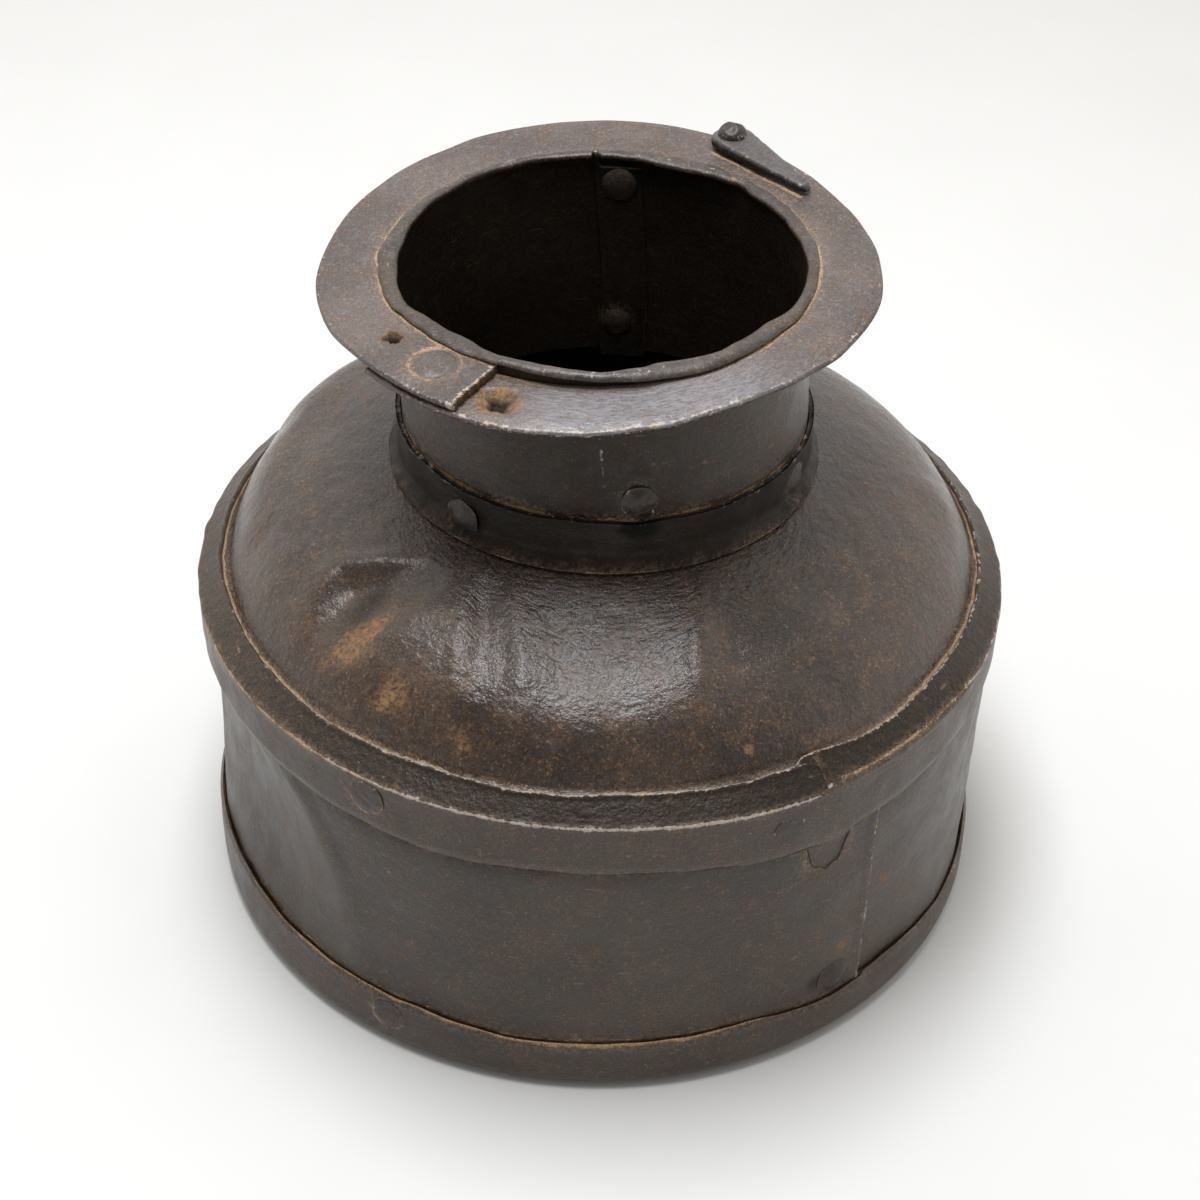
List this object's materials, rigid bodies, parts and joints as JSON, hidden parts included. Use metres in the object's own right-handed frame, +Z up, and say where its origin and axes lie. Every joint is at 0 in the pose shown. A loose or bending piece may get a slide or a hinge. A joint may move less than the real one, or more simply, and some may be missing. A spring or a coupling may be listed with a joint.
{
  "type": "iron water pot",
  "caption": "Wide round water pot of riveted iron sheet, with a domed shoulder, a narrow neck and a flat ring round the mouth that carries a swivelling catch.",
  "frame": {"origin": "centre of the foot, on the surface that the pot stands on", "axes": "+Z up through the mouth, -Y towards the front of the picture, +X to its right"},
  "size_m": [0.3034, 0.3034, 0.2716],
  "materials": {
    "wall_iron": "dark oxidised sheet iron, satin, with fine pitting",
    "dome_iron": "dark brown oxidised sheet iron, waxy sheen with hammer ripples",
    "rim_iron": "grey brown worn iron with reddish rust specks",
    "rivet_iron": "dark forged iron with rust at the edges"
  },
  "bodies": {
    "pot": {"base_pan": "wall_iron", "drum_wall": "wall_iron", "shoulder_hoop": "wall_iron", "shoulder_dome": "dome_iron", "neck_collar": "wall_iron", "neck": "wall_iron", "rim_ring": "rim_iron", "rim_lap_rivet": "rim_iron", "catch_rivet": "rivet_iron", "neck_seam_rivet": "rivet_iron", "hoop_lap_rivet": "rivet_iron", "drum_seam_rivet": "rivet_iron", "collar_rivet_1": "rivet_iron", "collar_rivet_2": "rivet_iron", "collar_rivet_3": "rivet_iron", "collar_rivet_4": "rivet_iron", "collar_rivet_5": "rivet_iron", "collar_rivet_6": "rivet_iron", "hoop_rivet_1": "rivet_iron", "hoop_rivet_2": "rivet_iron", "hoop_rivet_3": "rivet_iron", "base_rivet_1": "rivet_iron", "base_rivet_2": "rivet_iron", "base_rivet_3": "rivet_iron", "base_rivet_4": "rivet_iron"},
    "catch": {"catch_tongue": "rim_iron"}
  },
  "joints": [
    {"name": "catch_swivel", "type": "hinge", "parent": "pot", "child": "catch", "pos_m": [0.0446, 0.07702, 0.26151], "axis": [-0.033, -0.0459, 0.9984], "continuous": true}
  ]
}
